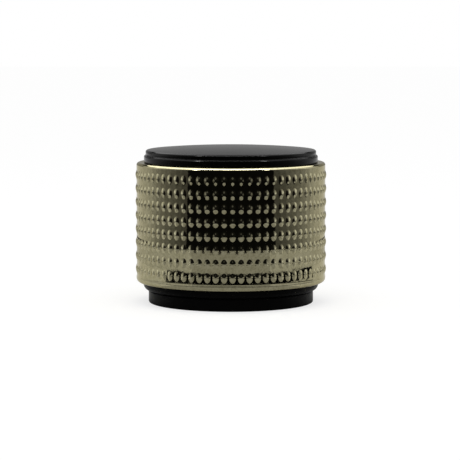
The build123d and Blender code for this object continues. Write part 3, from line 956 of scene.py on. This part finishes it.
# %% [markdown]
# ## Woven mesh
#
# The screen is woven from fine wire. Modelling each wire would take thousands of faces that are
# never seen singly, so its solid stays as it is and the weave is in its finish. Two sets of waves
# at right angles give the wires their height, and the holes between them are cut with Alpha.

# %% Woven mesh
WIRE_PITCH = 0.4 * MM
full_wave, half_wave = 2 * pi / WIRE_PITCH, pi / WIRE_PITCH

weave = Finish("woven_mesh")
x, y = weave.along("X"), weave.along("Y")
warp = (x * full_wave).math("SINE") * 0.5 + 0.5
weft = (y * full_wave).math("SINE") * 0.5 + 0.5
wires = warp.math("MAXIMUM", weft)
over_and_under = (x * half_wave).math("SINE") * (y * half_wave).math("SINE") * 0.25
tarnish = weave.noise(300, detail=3.0)
steel = weave.mix(tarnish, (0.55, 0.55, 0.55), (0.40, 0.39, 0.37))
steel_mesh = weave.shade(Base_Color=steel, Metallic=1.0, Roughness=0.30 + tarnish * 0.1,
                         Alpha=weave.between(wires, 0.42, 0.52),
                         Normal=weave.bump(wires + over_and_under, 0.12 * MM))
paint(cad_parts["screen_mesh"], steel_mesh)

# %% [markdown]
# ## Floor and surround
#
# Shiny things are lit by what they reflect, so the stage matters as much as the finishes. The
# floor is plain and pale, and the world behind it is white. The floor is brightened only where the
# camera sees it, which turns it white and leaves the grinder's soft shadow on it. More light would
# whiten it too, but would also wash out the black and the gold.

# %% Floor and surround
deselect()
bpy.ops.mesh.primitive_plane_add(size=6)
floor = bpy.context.object
floor.name = "floor"

white_table = bpy.data.materials.new("white_table")
table = Nodes(white_table)
camera_ray = table.node("ShaderNodeLightPath", out="Is Camera Ray")
seen = camera_ray.math("MAXIMUM", table.node("ShaderNodeLightPath", out="Is Transmission Ray"))
matt_colour = table.mix(seen, (0.80, 0.80, 0.80), (0.36, 0.36, 0.36))
matt = table.node("ShaderNodeBsdfDiffuse", None, {"Color": matt_colour})
lift = table.node("ShaderNodeEmission", None, {"Color": (0.68, 0.68, 0.68), "Strength": seen})
table.surface(table.node("ShaderNodeAddShader", None, {0: matt, 1: lift}))
paint(floor, white_table)

world = bpy.data.worlds.new("studio")
bpy.context.scene.world = world
sky = Nodes(world)
camera_ray = sky.node("ShaderNodeLightPath", out="Is Camera Ray")
level = sky.node("ShaderNodeMapRange", None, {"Value": camera_ray, "To Min": 0.85, "To Max": 1.0})
background = world.node_tree.nodes["Background"]
sky.feed(background.inputs["Color"], (1, 1, 1))
sky.feed(background.inputs["Strength"], level)
print("stage:", floor.name, white_table.name, world.name)

# %% [markdown]
# ## Cards
#
# A product photographer stands cards round a shiny thing, so that it mirrors something plain.
# These cards glow evenly and only reflections see them. Most are swept round the grinder's axis
# from a short outline by Spin, because a round sleeve mirrors a round card without bends. Two
# hang level above it. Lamps could make the same highlights, but not the dark parts.

# %% How a card is made
def glow(sheet, level):
    """Makes a sheet a card of one even brightness that only reflections see."""
    shine = bpy.data.materials.new(sheet.name)
    nodes = Nodes(shine)
    nodes.surface(nodes.node("ShaderNodeEmission", None, {"Color": (1, 1, 1), "Strength": level}))
    paint(sheet, shine)
    sheet.visible_camera = sheet.visible_diffuse = sheet.visible_shadow = sheet.visible_transmission = False
    return sheet


def card(name, outline, from_angle, to_angle, level):
    """A card swept round the axis, from (radius, height) points in metres. Angles run from the
    front, anticlockwise from above."""
    outline = [(radius / MM, height / MM) for radius, height in outline]
    sheet = point_at(name, *outline[0])
    with editing(sheet):
        bpy.ops.mesh.select_all(action="SELECT")
        trace(outline)
        bpy.ops.mesh.select_all(action="SELECT")
        bpy.ops.mesh.spin(steps=64, angle=radians(from_angle - to_angle), center=(0, 0, 0), axis=(0, 0, 1))
    sheet.rotation_euler = (0, 0, radians(from_angle - 90))
    settle(sheet)
    return glow(sheet, level)


def overhead_card(name, low_x, high_x, low_y, high_y, height, level):
    """A level card above the grinder."""
    deselect()
    bpy.ops.mesh.primitive_plane_add(size=1, location=((low_x + high_x) / 2, (low_y + high_y) / 2, height))
    sheet = bpy.context.object
    sheet.name = name
    sheet.scale = (high_x - low_x, high_y - low_y, 1)
    settle(sheet)
    return glow(sheet, level)

# %% [markdown]
# ## Where the cards stand
#
# The camera looks down a little, so an upright gold wall mirrors the table. From its foot upwards
# the sleeve shows the table close by, a black strip on it, a low pale hoop just over it, and then
# the black table and the black screen beyond. The hobnails' upper flanks mirror what stands
# higher: the dim screen, the bright ceiling, and two narrow edge lamps, which draw a thin curl
# down the side of each hobnail. The front lamp is the line of light on the sleeve's shoulder. The
# cards behind the grinder tone down its lid.

# %% Cards in front, behind and above
FRONT = 52  # degrees to either side that the dark front reaches
TABLE = 0.0002  # a card on the table lies just above it
SCREEN, BACK, SCREEN_TOP = 0.85, 0.90, 0.80
BLACK_TOP, STRIP_START, STRIP_END = 0.36, 0.105, 0.144
HOOP, HOOP_FOOT, HOOP_TOP = 0.0915, 0.0059, 0.0135

far_table = [(STRIP_END, TABLE), (SCREEN, TABLE)]
hoop_side = [(HOOP, HOOP_FOOT), (HOOP, HOOP_TOP)]
hoop_edge = [(HOOP, HOOP_TOP), (HOOP, HOOP_TOP + 0.0007)]
edge_lamp = [(0.84, 0.52), (0.84, 0.92)]
cards = [
    card("black_screen", [(SCREEN, 0.0), (SCREEN, BLACK_TOP)], -FRONT, FRONT, 0.012),
    card("dim_screen", [(SCREEN, BLACK_TOP), (SCREEN, SCREEN_TOP)], -FRONT, FRONT, 0.14),
    card("black_table", far_table, -FRONT, FRONT, 0.006),
    card("black_strip", [(STRIP_START, TABLE), (STRIP_END, TABLE)], -75, 105, 0.0),
    card("front_hoop", [(HOOP, HOOP_FOOT), (HOOP, 0.0133)], -40, 40, 0.45),
    card("left_hoop", hoop_side, -180, -40, 0.62),
    card("right_hoop", hoop_side, 40, 180, 0.62),
    card("left_hoop_edge", hoop_edge, -150, -FRONT, 0.08),
    card("right_hoop_edge", hoop_edge, FRONT, 150, 0.08),
    card("grey_back", [(BACK, 0.0), (BACK, BLACK_TOP)], 132, 228, 0.32),
    card("dark_back", [(BACK, BLACK_TOP), (BACK, 0.95)], 132, 228, 0.05),
    card("front_table", [(0.030, 0.0003), (0.104, 0.0003)], -60, 60, 0.45),
    card("upper_left", [(0.845, 0.47), (0.845, 0.80), (0.45, 0.94)], -172, -FRONT, 3.2),
    card("upper_right", [(0.845, 0.50), (0.845, 0.80), (0.45, 0.94)], FRONT, 172, 2.6),
    card("front_lamp", [(0.74, 0.93), (0.62, 0.93)], -FRONT, FRONT, 30.0),
    card("edge_lamp_left", edge_lamp, -FRONT, -45, 45.0),
    card("edge_lamp_right", edge_lamp, 46, FRONT, 36.0),
    overhead_card("dark_ceiling", -1.5, 1.5, -1.5, 1.5, 1.0, 0.10),
    overhead_card("bright_ceiling", -1.3, 0.6, -0.35, 0.5, 0.95, 3.5),
]
print("cards:", ", ".join(sheet.name for sheet in cards))

# %% [markdown]
# ## Cards at the sides
#
# To the left and right of the dark front the cards go from dark to pale in narrow steps, so the
# gold grows brighter evenly towards its two edges. Each step has a card on the table, which the
# plain wall mirrors, and an upright card, which the sides of the hobnails mirror. One card with a
# gradient would do the same, but steps are simple to read and to change.

# %% Cards at the sides
STEP_ANGLE = 8
table_greys = (0.10, 0.13, 0.17, 0.21, 0.26, 0.33, 0.44, 0.56, 0.64, 0.64)
wall_greys = (0.20, 0.30, 0.42, 0.56, 0.80, 1.10, 1.20, 1.05, 0.85, 0.70)
side_wall = [(SCREEN, TABLE), (SCREEN, SCREEN_TOP)]
for step, (table_grey, wall_grey) in enumerate(zip(table_greys, wall_greys)):
    near = FRONT + STEP_ANGLE * step
    far = near + STEP_ANGLE
    card(f"left_table_{step}", far_table, -far, -near, table_grey)
    card(f"right_table_{step}", far_table, near, far, table_grey)
    card(f"left_wall_{step}", side_wall, -far, -near, wall_grey)
    card(f"right_wall_{step}", side_wall, near, far, wall_grey)
print("steps on each side:", len(table_greys), "up to", far, "degrees")

# %% [markdown]
# ## Lamp
#
# One soft area lamp above the front gives the light and the shadow on the floor a direction. It
# is weak, because the white surround already gives most of the light.

# %% Lamp
deselect()
bpy.ops.object.light_add(type="AREA", location=(0, -0.25, 0.9), rotation=(radians(-15.5), 0, 0))
softbox = bpy.context.object
softbox.name = "softbox"
softbox.data.shape = "RECTANGLE"
softbox.data.size, softbox.data.size_y = 0.6, 0.35
softbox.data.energy = 1.2
print("lamp:", softbox.name, softbox.data.energy, "W")

# %% [markdown]
# ## Camera
#
# A long lens from a little above the lid shows the stack nearly side on, with only a thin slice
# of the lid's dome. It stands about three quarters of a metre away.

# %% Camera and view settings
camera_aside, camera_distance, camera_height = -0.0003, 0.756, 0.0984
look_down = 5.62

deselect()
bpy.ops.object.camera_add(location=(camera_aside, -camera_distance, camera_height),
                          rotation=(radians(90 - look_down), 0, 0))
camera = bpy.context.object
camera.name = "camera"
camera.data.sensor_width = 36
camera.data.lens = 177.6
camera.data.clip_start, camera.data.clip_end = 0.01, 20
bpy.context.scene.camera = camera
bpy.context.scene.view_settings.view_transform = "Standard"
print("camera:", tuple(round(v, 4) for v in camera.location), camera.data.lens, "mm")
